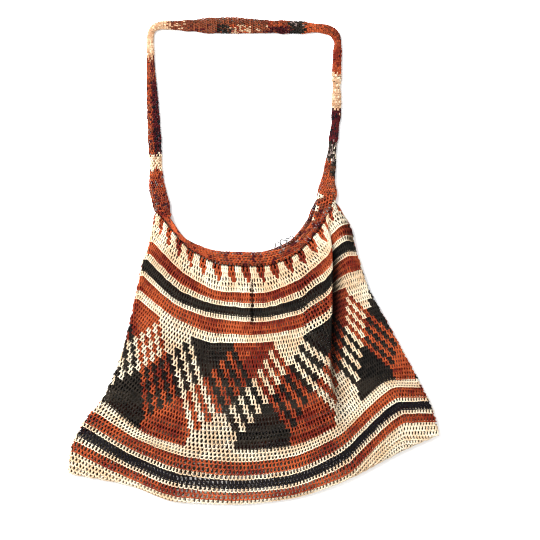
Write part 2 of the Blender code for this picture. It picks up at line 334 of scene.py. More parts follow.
FINE = 12  # columns of the sheet between two of the nine wales, and lines between two courses
SIDE_STEPS = FOLD_STEPS // 2


def with_side_folds(lines):
    """Adds half of each side fold to the ends of lines that run across the bag."""
    turns = 0.5 * np.pi * np.arange(1, SIDE_STEPS + 1) / SIDE_STEPS
    sides = []
    for edge, sign in ((lines[:, 0], -1.0), (lines[:, -1], 1.0)):
        fold = np.repeat(edge[:, None], SIDE_STEPS, axis=1)
        fold[:, :, 0] += sign * FOLD_OUT * np.sin(turns)
        fold[:, :, 2] = FOLD_MIDDLE + (fold[:, :, 2] - FOLD_MIDDLE) * np.cos(turns)
        sides.append(fold)
    return np.concatenate([sides[0][:, ::-1], lines, sides[1]], axis=1)


def front_lines():
    """Lines across the front from the mouth to the hem."""
    across = np.linspace(0.0, WALE_SPANS, WALE_SPANS * FINE + 1)
    down = np.linspace(0.0, COURSE_SPANS, COURSE_SPANS * FINE + 1)
    wales = smooth(course_stations(), down)
    lines = smooth(wales.transpose(1, 0, 2), across).transpose(1, 0, 2)
    lines[:, :, 2] -= crease_depth(lines[:, :, 0], lines[:, :, 1]) + FRONT_SINK
    return with_side_folds(lines)


BAND_PEEK = 6.0  # how far the back of the mouth shows past its front
PEEK_SHARES = (0.0, 0.0, 0.0, 0.1, 0.8, 1.0, 0.9, 0.6, 0.0)  # the share of it at each of the wales
PEEK_WAY = np.array([-0.7, 0.7, 0.0])


def mouth_lean(share):
    """How far the back of the mouth leans out, at shares of the way across."""
    peek = smooth(PEEK_SHARES, np.asarray(share) * WALE_SPANS)
    return BAND_PEEK * peek[:, None] * PEEK_WAY


def back_lines(hem):
    """Lines across the back from the hem to the mouth, over the same columns as the hem."""
    wales = [0, 1, 2, 3, 4, 7, 8]  # all but the lip and the foot, because the back has no pleat
    place = np.linspace(0.0, len(wales) - 1, (len(wales) - 1) * FINE + 1)
    flat = hem[SIDE_STEPS:-SIDE_STEPS, 0]
    share = (flat - flat[0]) / (flat[-1] - flat[0])
    lines = []
    for station in course_stations()[::-1]:
        curve = smooth(station[wales], place)
        x = curve[0, 0] + (curve[-1, 0] - curve[0, 0]) * share
        y = np.interp(x, curve[:, 0], curve[:, 1])
        lines.append(np.stack([x, y, np.full_like(x, BACK_LIFT)], 1))
    lines[-1] += mouth_lean(share)
    up = np.linspace(0.0, COURSE_SPANS, COURSE_SPANS * FINE + 1)
    return with_side_folds(smooth(np.array(lines), up))


SPARE = 8.0  # how far each column's path runs on past the mouth, at both its ends


def pouch_paths():
    """Each column's whole path: down the front, round the bottom fold and up the back."""
    front = front_lines()
    hem = front[-1]
    turns = np.pi * np.arange(1, FOLD_STEPS + 1) / FOLD_STEPS
    fold = np.repeat(hem[None], len(turns), axis=0)
    fold[:, :, 1] -= FOLD_OUT * np.sin(turns)[:, None]
    fold[:, :, 2] = FOLD_MIDDLE + (fold[:, :, 2] - FOLD_MIDDLE) * np.cos(turns)[:, None]
    back = back_lines(hem)
    above = front[0] + unit(front[0] - front[1]) * np.array([1.0, 1.0, 0.0]) * SPARE
    beyond = back[-1] + unit(back[-1] - back[-2]) * SPARE
    return np.concatenate([above[None], front, fold, back[1:], beyond[None]]), len(front)


def wale_shares(wales, row):
    """How far along its course each wale of a row lies, as a share of the course's length."""
    tables = (MOUTH_PLACES, BAND_TOP_PLACES, BAND_FOOT_PLACES)
    shares = [np.interp(wales, *zip(*table)) for table in tables]
    mix = np.interp(row, (0.0, BAND_FIRST, BAND_LAST), (0.0, 1.0, 2.0))
    low = min(int(mix), 1)
    return shares[low] + (shares[low + 1] - shares[low]) * (mix - low)


class Cloth:
    """A surface that stitches are laid on, sampled on a regular grid of rows and wales."""

    STEP = 0.25

    def __init__(self, lines, first_row, wales, ring=False, turn_over=False, pouch=False):
        self.first, self.wales, self.ring = first_row, wales, ring
        wanted = np.arange(0.0, wales + self.STEP / 2, self.STEP)
        grid = []
        for number, line in enumerate(lines):
            row = first_row + number * self.STEP
            share = wale_shares(wanted, row) if pouch else wanted / wales
            walked = lengths(line)
            grid.append(resample(line, walked, share * walked[-1]))
        self.points = np.array(grid)
        # painted shade on the cloth, which press_front lays in the pinch and beside the pleat
        self.painted_shade = np.zeros(self.points.shape[:2] + (1,))
        self.turn_over = turn_over
        self.measure()

    def measure(self):
        """Works out the outward side, the slant and the spacing of the wales everywhere."""
        along = self.across(self.points)
        down = np.gradient(self.points, self.STEP, axis=0)
        normal = unit(np.cross(down, along))
        self.normals = -normal if self.turn_over else normal
        slant = -(down * along).sum(-1) / np.maximum((along * along).sum(-1), 1e-9)
        self.slant = np.clip(slant, -4.0, 4.0)[..., None]
        self.pitch = np.linalg.norm(along, axis=-1, keepdims=True)

    def across(self, points):
        if not self.ring:
            return np.gradient(points, self.STEP, axis=1)
        wide = np.concatenate([points[:, -2:-1], points, points[:, 1:2]], axis=1)
        return (wide[:, 2:] - wide[:, :-2]) / (2.0 * self.STEP)

    def read(self, grid, u, v):
        if self.ring:
            u = u % self.wales
        i = np.clip((v - self.first) / self.STEP, 0.0, grid.shape[0] - 1.001)
        j = np.clip(u / self.STEP, 0.0, grid.shape[1] - 1.001)
        i0, j0 = i.astype(int), j.astype(int)
        a, b = (i - i0)[:, None], (j - j0)[:, None]
        near = grid[i0, j0] * (1 - b) + grid[i0, j0 + 1] * b
        far = grid[i0 + 1, j0] * (1 - b) + grid[i0 + 1, j0 + 1] * b
        return near * (1 - a) + far * a


TOP_ROW = -1.0  # each cloth starts a row early, because the loops' tips reach up


def pouch_cloths():
    """The front and the back of the pouch, as two cloths that meet under the bottom fold."""
    paths, front_count = pouch_paths()
    walked = lengths(paths)
    walked -= walked[1]
    courses = walked[1 : front_count + 1 : FINE][: len(COURSE_ROWS)]
    rows = np.arange(TOP_ROW, ROWS + 1.0, Cloth.STEP)
    front, back = [], []
    for path, walk, course in zip(paths.transpose(1, 0, 2), walked.T, courses.T):
        above = rows * (course[1] - course[0]) / COURSE_ROWS[1]
        past = course[-1] + (rows - COURSE_ROWS[-1]) * HEM_PITCH
        at = np.interp(rows, COURSE_ROWS, course)
        at = np.where(rows > COURSE_ROWS[-1], past, np.where(rows < 0.0, above, at))
        front.append(resample(path, walk, at))
        mouth, meet = walk[-2], course[-1] + (ROWS - COURSE_ROWS[-1]) * HEM_PITCH
        back.append(resample(path, walk, mouth + (meet - mouth) * rows / ROWS))
    front, back = np.array(front).transpose(1, 0, 2), np.array(back).transpose(1, 0, 2)
    return (
        Cloth(front, TOP_ROW, WALES, pouch=True),
        Cloth(back, TOP_ROW, WALES, turn_over=True, pouch=True),
    )


# ---------------- stitches


YARN_R = 0.64  # radius of the yarn
# Half of one loop of the net, from the middle of its foot to its tip. The other half mirrors it,
# and the two halves cross at the neck. Wales and rows from the loop's own place, depth in yarn
# radii, and the yarn's thickness.
LOOP = (
    # part            wale   row  depth thick
    ("foot middle",   0.00,  0.50,  1.0, 1.12),
    ("foot end",      0.28,  0.51,  1.0, 1.08),
    ("stem foot",     0.39,  0.36,  0.6, 1.00),
    ("stem",          0.40,  0.08,  0.3, 1.00),
    ("neck",          0.50, -0.16,  0.9, 1.00),
    ("shoulder",      0.75, -0.28,  1.0, 1.06),
    ("tip side",      0.61, -0.54,  0.2, 0.92),
    ("tip",           0.50, -0.78, -0.3, 0.85),
)
NECK_UNDER = 1.6  # how far the second half passes under the first at the neck, in yarn radii
TIP_LEAN = 0.26  # how far the tip leans over to the left, in wales
LEAN_FROM, LEAN_OVER = 0.3, 0.6  # how far up the loop it starts to lean, and over how much, in rows
UPRIGHT = 0.6  # how far the legs turn square to their row, 1 is all the way
EASY_PITCH, TIGHT_PITCH = 3.4, 2.2  # spacing of the wales where they lie easily, and drawn up
CROWDED = 0.125  # how much thicker the yarn lies halfway between the two
UNEVEN = 0.05  # unevenness of the hand work, in wales and rows
YARN_RUN = 5  # stitches over which the yarn's own shade changes
# How dull the yarn is at least, and how much that changes along it and from stitch to stitch.
DULL_LEAST, DULL_ALONG, DULL_STITCH = 0.15, 0.7, 0.60
SIDES = 3  # sides of a strand

hand = np.random.default_rng(12)  # the unevenness of the maker's hand, the same each time

LOOP_HALF = np.array([part[1:] for part in LOOP])
LOOP_BACK = LOOP_HALF[-2:0:-1] * (-1.0, 1.0, 1.0, 1.0) + (1.0, 0.0, 0.0, 0.0)
BACK_NAMES = [part[0] for part in LOOP[-2:0:-1]]
LOOP_BACK[BACK_NAMES.index("neck"), 2] -= NECK_UNDER
LOOP_LINE = np.concatenate([LOOP_HALF, LOOP_BACK, LOOP_HALF[:1] + (1.0, 0.0, 0.0, 0.0)]).T
LOOP_PLACES = np.linspace(0.0, 1.0, LOOP_LINE.shape[1])


def row_start(row):
    """The wale of a row's first foot: each row steps half a wale on from the row above."""
    shift = 0.5 * (row % 2) + DRIFT * (row - BAND_FIRST) - 0.5
    return shift, int(math.ceil(-shift))


def spun_shade(stitches):
    """How dull the yarn is at each stitch of a row: it changes slowly along the yarn."""
    knots = hand.random(stitches // YARN_RUN + 3)
    slow = np.interp(np.arange(stitches), np.arange(len(knots)) * YARN_RUN, knots)
    quick = hand.random(stitches) - 0.5
    return np.clip(DULL_LEAST + DULL_ALONG * slow + DULL_STITCH * quick, 0.0, 1.0)


def strand(cloth, row, start, count, per_stitch, lift=0.0, thick=1.0, flat=1.0, uneven=UNEVEN):
    """The path of one row of loops. Each point has the cloth's outward side, the yarn's radius,
    its depth, how dull it is, and the cloth's painted shade there."""
    steps = count * per_stitch + (0 if cloth.ring else 1)
    place = np.arange(steps) / per_stitch
    knots = np.arange(count + 2) - 0.5
    ragged = hand.normal(0.0, uneven, (2, len(knots)))
    if cloth.ring:
        ragged[:, -2:] = ragged[:, :2]
    aside, along = (np.interp(place, knots, part) for part in ragged)
    wale, fall, stand, girth = (np.interp(place % 1.0, LOOP_PLACES, part) for part in LOOP_LINE)
    u = np.floor(place) + wale + start + aside
    u = u + 0.5 * DRIFT * fall - TIP_LEAN * np.clip(-LEAN_FROM - fall, 0.0, 1.0) / LEAN_OVER
    v = row + fall + along
    if not cloth.ring:
        u = np.clip(u, 0.0, cloth.wales)
    slant = cloth.read(cloth.slant, u, v)[:, 0]
    u = u + UPRIGHT * slant * (v - row)
    if not cloth.ring:
        u = np.clip(u, 0.0, cloth.wales)
    normal = unit(cloth.read(cloth.normals, u, v))
    pitch = cloth.read(cloth.pitch, u, v)[:, 0]
    crowd = np.clip((EASY_PITCH - pitch) / (EASY_PITCH - TIGHT_PITCH), 0.0, 1.0)
    radius = thick * YARN_R * (1.0 + 4.0 * CROWDED * crowd * (1.0 - crowd))
    depth = flat * radius * stand
    radius = radius * girth
    path = cloth.read(cloth.points, u, v) + normal * (depth + lift)[:, None]
    path[:, 2] = np.maximum(path[:, 2], radius)  # nothing sinks into the surface
    dull = spun_shade(count + 1)[np.minimum(place.astype(int), count)]
    return path, normal, radius, depth, dull, cloth.read(cloth.painted_shade, u, v)[:, 0]


def tube(path, normal, radius, ring):
    """Corner points round each point of a strand, and how far each one faces outwards."""
    if ring:
        along = unit(np.roll(path, -1, axis=0) - np.roll(path, 1, axis=0))
    else:
        along = unit(np.gradient(path, axis=0))
    side = unit(np.cross(along, normal))
    up = np.cross(side, along)
    angle = TURN * (np.arange(SIDES) + 0.5) / SIDES
    cos, sin = np.cos(angle)[:, None], np.sin(angle)[:, None]
    out = cos * side[:, None] + sin * up[:, None]
    return path[:, None] + radius[:, None, None] * out, np.sin(angle)


# Each strand has a lane of its piece's map, with bare edges, and each of its ends a small patch.
LANE_EDGE = 0.04
CAP_START, CAP_END, CAP_UP = 0.001, 0.997, 0.97
CAP_PATCH = np.array([[0.0, 0.0], [0.002, 0.0], [0.002, 0.015], [0.0, 0.015]])


class Work:
    """Gathers strands into one mesh, with a yarn for each face and a painted shade for each point.
    """

    def __init__(self, name):
        self.name = name
        self.points, self.faces, self.yarns, self.maps = [], [], [], []
        self.shades, self.dulls = [], []
        self.total, self.lanes = 0, 0

    def add(self, laid, yarn, ring, shade_gain=1.0):
        """Sweeps a tube along a strand. The shade gain is how quickly painted shade darkens it with
        depth.
        """
        path, normal, radius, depth, dull, painted_shade = laid
        corners, outward = tube(path, normal, radius, ring)
        count = len(path)
        spans = count if ring else count - 1
        span, side = np.meshgrid(np.arange(spans), np.arange(SIDES), indexing="ij")
        here, there = span * SIDES, (span + 1) % count * SIDES
        turned = (side + 1) % SIDES
        quads = np.stack([here + side, here + turned, there + turned, there + side], -1)
        self.faces.append(quads.reshape(-1, 4) + self.total)
        self.yarns.append(np.repeat(yarn[:spans], SIDES))
        # Painted shade: corners that lie deep or face inwards get a low shade, and the cloth's
        # painted shade is taken off it.
        shade = (depth[:, None] + radius[:, None] * outward) / YARN_R
        self.shades.append((shade * shade_gain - 0.5 * (shade_gain - 1.0) - painted_shade[:, None]).reshape(-1))
        self.dulls.append(np.repeat(dull, SIDES))
        u = np.stack([span, span, span + 1, span + 1], -1) / spans
        across = np.stack([side, side + 1, side + 1, side], -1) / SIDES
        v = self.lanes + LANE_EDGE + (1.0 - 2.0 * LANE_EDGE) * across
        self.maps.append(np.stack([u, v], -1).reshape(-1, 2))
        if not ring:
            self.cap(np.arange(SIDES)[::-1], yarn[0], CAP_START)
            self.cap((count - 1) * SIDES + np.arange(SIDES), yarn[-1], CAP_END)
        self.points.append(corners.reshape(-1, 3))
        self.total += count * SIDES
        self.lanes += 1

    def cap(self, ends, yarn, u):
        """Closes one end of a strand by a triangle, kept as a quad with its last corner doubled."""
        self.faces.append((np.append(ends, ends[-1]) + self.total)[None])
        self.yarns.append(np.array([yarn]))
        self.maps.append(np.array([u, self.lanes + CAP_UP]) + CAP_PATCH)

    def finish(self):
        """Makes the mesh and its object, which rides on the bag's one body."""
        points = np.concatenate(self.points) * MM
        faces = np.concatenate(self.faces)
        uv = np.concatenate(self.maps)
        uv[:, 1] /= self.lanes
        mesh = bpy.data.meshes.new(self.name)
        mesh.vertices.add(len(points))
        mesh.vertices.foreach_set("co", points.astype(np.float32).ravel())
        triangle = faces[:, 2] == faces[:, 3]
        sizes = np.where(triangle, 3, 4)
        keep = np.ones(faces.shape, bool)
        keep[triangle, 3] = False
        loops = faces[keep]
        mesh.loops.add(len(loops))
        mesh.loops.foreach_set("vertex_index", loops.astype(np.int32))
        mesh.polygons.add(len(faces))
        starts = np.concatenate([[0], np.cumsum(sizes)[:-1]])
        mesh.polygons.foreach_set("loop_start", starts.astype(np.int32))
        mesh.polygons.foreach_set("loop_total", sizes.astype(np.int32))
        used = sorted(set(np.concatenate(self.yarns).tolist()))
        for yarn in used:
            mesh.materials.append(YARN_FINISH[yarn])
        index = np.searchsorted(used, np.concatenate(self.yarns))
        mesh.polygons.foreach_set("material_index", index.astype(np.int32))
        layer = mesh.uv_layers.new(name="OFBake", do_init=False)
        layer.uv.foreach_set("vector", uv.reshape(-1, 4, 2)[keep].astype(np.float32).ravel())
        for title, values in (("shade", self.shades), ("dull", self.dulls)):
            layer = mesh.attributes.new(title, "FLOAT", "POINT")
            layer.data.foreach_set("value", np.concatenate(values).astype(np.float32))
        mesh.update(calc_edges=True)
        mesh.shade_smooth()
        mesh.validate()
        piece = bpy.data.objects.new(self.name, mesh)
        bpy.context.scene.collection.objects.link(piece)
        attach(piece, "root")
        return piece


# ---------------- finishes

# Linear colours of each yarn where it is clean and where the spinning left it dull.
YARN_TONES = (
    # yarn        clean                   dull
    ("cream",    (0.750, 0.655, 0.500), (0.600, 0.420, 0.260)),
    ("rust",     (0.410, 0.079, 0.024), (0.150, 0.016, 0.008)),
    ("charcoal", (0.026, 0.020, 0.015), (0.008, 0.007, 0.006)),
    ("navy",     (0.010, 0.008, 0.011), (0.004, 0.003, 0.005)),
    ("maroon",   (0.085, 0.009, 0.011), (0.030, 0.004, 0.006)),
    ("brown",    (0.120, 0.046, 0.022), (0.045, 0.014, 0.009)),
    ("grey",     (0.250, 0.185, 0.165), (0.110, 0.075, 0.070)),
    ("tan",      (0.620, 0.420, 0.270), (0.400, 0.220, 0.120)),
    ("umber",    (0.220, 0.056, 0.024), (0.095, 0.020, 0.010)),
)
# Painted shade: the yarn darkens from one depth to the other, in yarn radii, down to this share of
# its colour.
SHADE_HIGH, SHADE_LOW, SHADE_DARK = 0.7, -1.6, 0.06
STAINS, STAIN = 26.0, 0.45  # how many large stains to the metre, and how strong they are
FIBRES = 900.0  # how many single fibres to the metre
FIBRE_DARK, FIBRE_LIGHT = 0.78, 1.18
FIBRE_BUMP, FIBRE_DEPTH = 0.5, 0.0003  # strength and height of their relief, in metres


def ranged(tree, value, low, high, start, end):
    """Brings a value from one range to another."""
    node = tree.nodes.new("ShaderNodeMapRange")
    for name, bound in (("From Min", low), ("From Max", high), ("To Min", start), ("To Max", end)):
        node.inputs[name].default_value = bound
    tree.links.new(value, node.inputs["Value"])
    return node.outputs["Result"]


def noise(tree, scale, detail):
    place = tree.nodes.new("ShaderNodeTexCoord")
    node = tree.nodes.new("ShaderNodeTexNoise")
    node.inputs["Scale"].default_value = scale
    node.inputs["Detail"].default_value = detail
    tree.links.new(place.outputs["Object"], node.inputs["Vector"])
    return node.outputs["Fac"]


def attribute(tree, name):
    node = tree.nodes.new("ShaderNodeAttribute")
    node.attribute_name = name
    return node.outputs["Fac"]


def combined(tree, operation, first, second):
    node = tree.nodes.new("ShaderNodeMath")
    node.operation = operation
    tree.links.new(first, node.inputs[0])
    tree.links.new(second, node.inputs[1])
    return node.outputs["Value"]


def yarn_finish(name, clean, dull):
    """Spun yarn: its tone drifts along the strand, its fibres show, and painted shade darkens its
    under side.
    """
    material = bpy.data.materials.new(name + "_yarn")
    material.use_nodes = True
    tree = material.node_tree
    shader = tree.nodes["Principled BSDF"]
    shader.inputs["Roughness"].default_value = 0.9
    shader.inputs["Specular IOR Level"].default_value = 0.12
    stain = ranged(tree, noise(tree, STAINS, 2.0), 0.35, 0.65, -STAIN, STAIN)
    tone = tree.nodes.new("ShaderNodeMix")
    tone.data_type = "RGBA"
    tone.clamp_factor = True
    tone.inputs["A"].default_value = (*clean, 1.0)
    tone.inputs["B"].default_value = (*dull, 1.0)
    tree.links.new(combined(tree, "ADD", attribute(tree, "dull"), stain), tone.inputs["Factor"])
    fibre = noise(tree, FIBRES, 2.0)
    grain = ranged(tree, fibre, 0.3, 0.7, FIBRE_DARK, FIBRE_LIGHT)
    painted_shade = ranged(tree, attribute(tree, "shade"), SHADE_LOW, SHADE_HIGH, SHADE_DARK, 1.0)
    darken = tree.nodes.new("ShaderNodeVectorMath")
    darken.operation = "SCALE"
    tree.links.new(tone.outputs["Result"], darken.inputs[0])
    tree.links.new(combined(tree, "MULTIPLY", grain, painted_shade), darken.inputs["Scale"])
    tree.links.new(darken.outputs["Vector"], shader.inputs["Base Color"])
    bump = tree.nodes.new("ShaderNodeBump")
    bump.inputs["Strength"].default_value = FIBRE_BUMP
    bump.inputs["Distance"].default_value = FIBRE_DEPTH
    tree.links.new(fibre, bump.inputs["Height"])
    tree.links.new(bump.outputs["Normal"], shader.inputs["Normal"])
    return material


YARN_FINISH = [yarn_finish(*tones) for tones in YARN_TONES]

# ---------------- the pouch

# Spacing of the wales and rows when the cloth is drawn open and flat: the pouch's open net, the
# closer work of the band, and the closest of the strap.
OPEN_NET, CLOSE_NET, STRAP_NET = (5.5, 6.0), (4.8, 5.0), (4.4, 4.4)


def net_size(wales, rows, spacing):
    """Width and length of a piece of the net, drawn open and flat."""
    return wales * spacing[0] * MM, rows * spacing[1] * MM


def lay_pouch(cloth, name, first, last, thick, per_stitch, rests_on, flat=1.0, shade_gain=1.0):
    """Works a run of the pouch's rows over its cloth, each row in its own yarns."""
    work = Work(name)
    for row in range(first, last + 1):
        shift, skip = row_start(row)
        count = int(WALES - shift) - skip
        laid = strand(cloth, row, shift + skip, count, per_stitch, thick=thick, flat=flat)
        stitch = np.arange(len(laid[0])) // per_stitch + 0.5 + skip
        yarn = pouch_yarn(row, stitch + 0.5 * (row % 2), stitch + shift)
        work.add(laid, yarn, False, shade_gain)
    piece = work.finish()
    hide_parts("bag_body")
    return piece


TOOTH_WALES = 0.30  # share of the wales that lie between the teeth
# The share of the width that they take, from the mouth to the row where it is even again.
TOOTH_WIDTHS = (
    # row  share
    (-1.0, 0.52),
    (1.5, 0.50),
    (3.5, 0.06),
    (5.5, TOOTH_WALES),
)
TOOTH_PUFF = 1.3  # how far each tooth of the front stands up between its neighbours
PUFF_ROWS = 4.0  # rows over which that fades


def gather_mouth(cloth, puff):
    """Draws the wales of each tooth together at the mouth, and opens the wedges between them."""
    rows = cloth.first + np.arange(cloth.points.shape[0]) * Cloth.STEP
    wale = np.arange(cloth.points.shape[1]) * Cloth.STEP
    tooth, part = np.divmod(wale * TEETH / WALES, 1.0)
    stands = np.cos(TURN * (part - 0.5))
    half = 0.5 * TOOTH_WALES
    places, widths = zip(*TOOTH_WIDTHS)
    for line, row in enumerate(rows):
        if row > places[-1]:
            break
        room = 0.5 * np.interp(row, places, widths)
        moved = np.interp(part, (0.0, half, 1.0 - half, 1.0), (0.0, room, 1.0 - room, 1.0))
        at = (tooth + moved) * WALES / TEETH
        cloth.points[line] = resample(cloth.points[line], wale, at)
        cloth.points[line, :, 2] += puff * stands * np.clip(1.0 - row / PUFF_ROWS, 0.0, 1.0)
    cloth.measure()


def press_front(cloth):
    """Presses the pinch and the tuck into the front, and paints shade into the pinch and beside the
    pleat.
    """
    x, y = cloth.points[:, :, 0], cloth.points[:, :, 1]
    inside = np.clip((PINCH_TOP + PINCH_FADE - y) / PINCH_FADE, 0.0, 1.0)
    inside *= np.clip((y - PINCH_FOOT + PINCH_FADE) / PINCH_FADE, 0.0, 1.0)
    pinch = inside * np.exp(-(((x - PINCH_X) / PINCH_HALF) ** 2))
    side = (x - TUCK_X) / TUCK_REACH
    fade = np.sin(np.pi * np.clip((y - TUCK_FOOT) / (TUCK_TOP - TUCK_FOOT), 0.0, 1.0)) ** 0.5
    cloth.points[:, :, 1] += TUCK_RISE * np.tanh(TUCK_SHARP * side) * np.exp(-(side**2)) * fade
    cloth.points[:, :, 2] -= PINCH_DEEP * pinch
    # painted shade along the pinch
    cloth.painted_shade[:, :, 0] += PINCH_SHADE * pinch
    # painted shade beside the pleat's foot, stronger the higher the lip stands over it
    for line, painted_shade in zip(cloth.points, cloth.painted_shade):
        near = np.where((line[:, 0] > PLEAT_LEFT) & (line[:, 0] < PLEAT_RIGHT))[0]
        lip = near[np.argmax(line[near, 2])]
        past = near[near >= lip]
        foot = past[np.argmin(line[past, 2])]
        drop = np.clip((line[lip, 2] - line[foot, 2]) / PLEAT_DROP, 0.0, 1.0)
        away = (line[:, 0] - line[foot, 0] - PLEAT_ASIDE) / PLEAT_REACH
        painted_shade[:, 0] += PLEAT_SHADE * drop * np.exp(-(away**2)) * (np.arange(len(line)) > lip)
    cloth.measure()


front_cloth, back_cloth = pouch_cloths()
gather_mouth(front_cloth, TOOTH_PUFF)
gather_mouth(back_cloth, 0.0)
press_front(front_cloth)
# The loops under the bag are pressed flat and close, and strong painted shade darkens their inner
# side, where little light reaches.
PRESSED = dict(per_stitch=6, rests_on=["floor"], flat=0.3, shade_gain=4.0)
BACK_PARTS = (
    # piece            first last thick
    ("back_upper_rows",  1, 28, 2.2),
    ("back_lower_rows", 29, 59, 2.2),
)
FOLD_PART = ("back_hem_rows", 57, 60, 1.9)  # the front's last rows, under the bottom fold
FRONT_PARTS = (
    # piece                first last thick
    ("front_mouth_rows",     1,  5, 1.22),
    ("front_upper_stripes",  6, 16, 1.12),
    ("front_diamond_upper", 17, 28, 1.00),
    ("front_diamond_lower", 29, 40, 1.00),
    ("front_lower_stripes", 41, 51, 1.08),
    ("front_hem_rows",      52, 56, 1.45),
)
backs = [lay_pouch(back_cloth, *part, **PRESSED) for part in BACK_PARTS]
backs.append(lay_pouch(front_cloth, *FOLD_PART, **PRESSED))
for part in FRONT_PARTS:
    lay_pouch(front_cloth, *part, per_stitch=14, rests_on=backs)

# ---------------- the mouth band

BAND_WALES, BAND_ROWS = 130, 5
BAND_POINTS = 8  # points of a strand to each stitch
BAND_LAY = dict(lift=0.8, thick=1.5, uneven=0.11)
SEAM_ROW, EDGE_ROW = -0.5, 4.3  # where its seam and its edge lie among its rows


def band_turns(seam, edge, sign):
    """Turns one end of the band from its front down to its back, at its seam and at its edge."""
    run = unit(edge - seam)
    away = np.array([-run[1], run[0], 0.0]) * sign
    turns = np.pi * np.arange(1, FOLD_STEPS) / FOLD_STEPS
    for point in (seam, edge):
        turn = point + np.outer(np.sin(turns), away) * FOLD_OUT
        turn[:, 2] = BACK_LIFT + 0.5 * (point[2] - BACK_LIFT) * (1.0 + np.cos(turns))
        yield turn


def band_cloth():
    """The band as a ring: along its front, round its right end, along its back and round again."""
    place = np.linspace(0.0, WALE_SPANS, WALE_SPANS * FINE + 1)
    seam = smooth(course_stations()[0], place)
    edge = smooth([(x, y) for _, x, y in BAND_EDGE], place)
    edge = np.column_stack([edge, seam[:, 2]])
    seam, edge = seam - (0.0, 0.0, FRONT_SINK), edge - (0.0, 0.0, FRONT_SINK)
    lean = mouth_lean(place / WALE_SPANS)
    lean[:, 2] = BACK_LIFT
    flat = np.array([1.0, 1.0, 0.0])
    right = band_turns(seam[-1], edge[-1], -1.0)
    left = band_turns(seam[0], edge[0], 1.0)
    bottom, top = (
        np.concatenate([line, turn, (line * flat + lean)[::-1], last_turn[::-1], line[:1]])
        for line, turn, last_turn in zip((seam, edge), right, left)
    )
    rows = np.arange(TOP_ROW, BAND_ROWS + 1.0, Cloth.STEP)
    share = (rows[:, None, None] - SEAM_ROW) / (EDGE_ROW - SEAM_ROW)
    return Cloth(bottom + (top - bottom) * share, TOP_ROW, BAND_WALES, ring=True, turn_over=True)


# Short cream dashes on the right of the band.
CREAM_DASHES = ((83.4, 76.2), (77.4, 60.6), (72.6, 48.6))
DASH_REACH = 2.6  # how far from its place a dash takes stitches in
FRONT_MIX = ((RUST, 0.66), (UMBER, 0.24), (MAROON, 0.10))
# The mottled back shows in this many rows of the edge, right of a line that steps left row by row.
BACK_MIX = ((MAROON, 0.24), (UMBER, 0.34), (RUST, 0.36), (GREY, 0.06))
BACK_SHOWS_ROWS, BACK_SHOWS_FROM, BACK_SHOWS_STEP = 2, 30.0, 9.0


def drawn(mix, count=None):
    """One yarn or a count of them, drawn from a mix of yarns and their shares."""
    yarns, shares = zip(*mix)
    return hand.choice(yarns, count, p=shares)


def band_colours(row, path, normal):
    """Rust at the front, with the mottled back of the band showing along its edge on the right."""
    middles = path[BAND_POINTS // 2 :: BAND_POINTS]
    faces_up = normal[BAND_POINTS // 2 :: BAND_POINTS, 2] > 0.0
    from_edge = BAND_ROWS - 1 - row
    right = middles[:, 0] > BACK_SHOWS_FROM - BACK_SHOWS_STEP * from_edge
    mottled = ~faces_up | (right & (from_edge < BACK_SHOWS_ROWS))
    yarn = drawn(FRONT_MIX, len(middles))
    yarn[mottled] = drawn(BACK_MIX, mottled.sum())
    for place in CREAM_DASHES:
        near = np.linalg.norm(middles[:, :2] - place, axis=1) < DASH_REACH
        yarn[near & faces_up] = CREAM
    return np.repeat(yarn, BAND_POINTS)


# Slack dark loops that stand off the band's edge, right of the middle.
SLACK_START, SLACK_END = np.array([27.0, 13.5, 9.0]), np.array([48.0, 25.0, 9.0])
SLACK_LOOPS, SLACK_POINTS = 3, 20  # how many, and the points of each
SLACK_REACH, SLACK_R = 5.5, 0.6  # how far they stand off, and their yarn's radius
SLACK_CHANGE, SLACK_BEAT = 0.35, 2.3  # how much their sizes differ, and how quickly
SLACK_CURL, SLACK_LIFT = 0.10, 0.5  # how far they curl back along the run, and rise and dip
SLACK_SHADE_DEPTH, SLACK_DULL = 0.4, 0.3  # the depth their painted shade is worked out from, and how dull they are, as a strand has them


def slack_loops():
    """The path of a thin strand that curls along the edge in open loops, as strand gives one."""
    steps = SLACK_LOOPS * SLACK_POINTS + 1
    share = np.linspace(0.0, 1.0, steps)
    turn = TURN * SLACK_LOOPS * share
    run = SLACK_END - SLACK_START
    out = unit(np.array([-run[1], run[0], 0.0]))
    size = SLACK_REACH * (1.0 + SLACK_CHANGE * np.sin(SLACK_BEAT * turn))
    path = SLACK_START + np.outer(share - SLACK_CURL * np.sin(turn), run)
    path = path + np.outer(0.5 * size * (1.0 - np.cos(turn)), out)
    path[:, 2] += SLACK_LIFT * np.sin(turn)
    up = np.tile((0.0, 0.0, 1.0), (steps, 1))
    plain = np.zeros(steps)
    return path, up, plain + SLACK_R, plain + SLACK_SHADE_DEPTH, plain + SLACK_DULL, plain


def lay_band():
    """Works the band in rounds, and adds the slack loops at its edge."""
    cloth = band_cloth()
    work = Work("mouth_band_loops")
    for row in range(BAND_ROWS):
        laid = strand(cloth, row, 0.5 * (row % 2), BAND_WALES, BAND_POINTS, **BAND_LAY)
        work.add(laid, band_colours(row, laid[0], laid[1]), True)
    slack = slack_loops()
    work.add(slack, np.full(len(slack[0]), CHARCOAL), False)
    piece = work.finish()
    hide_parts("mouth_band")


lay_band()

# ---------------- the strap

STRAP_WALES = 16  # loops round the strap
STRAP_PITCH = 2.9  # spacing of its rows
STRAP_POINTS = 6  # points of a strand to each stitch
STRAP_LAY = dict(thick=1.2, uneven=0.10)
STRAP_SHADE_GAIN = 1.8  # how quickly painted shade darkens its yarn with depth
STRAP_END = 10.8  # length of its left end that lies under the band

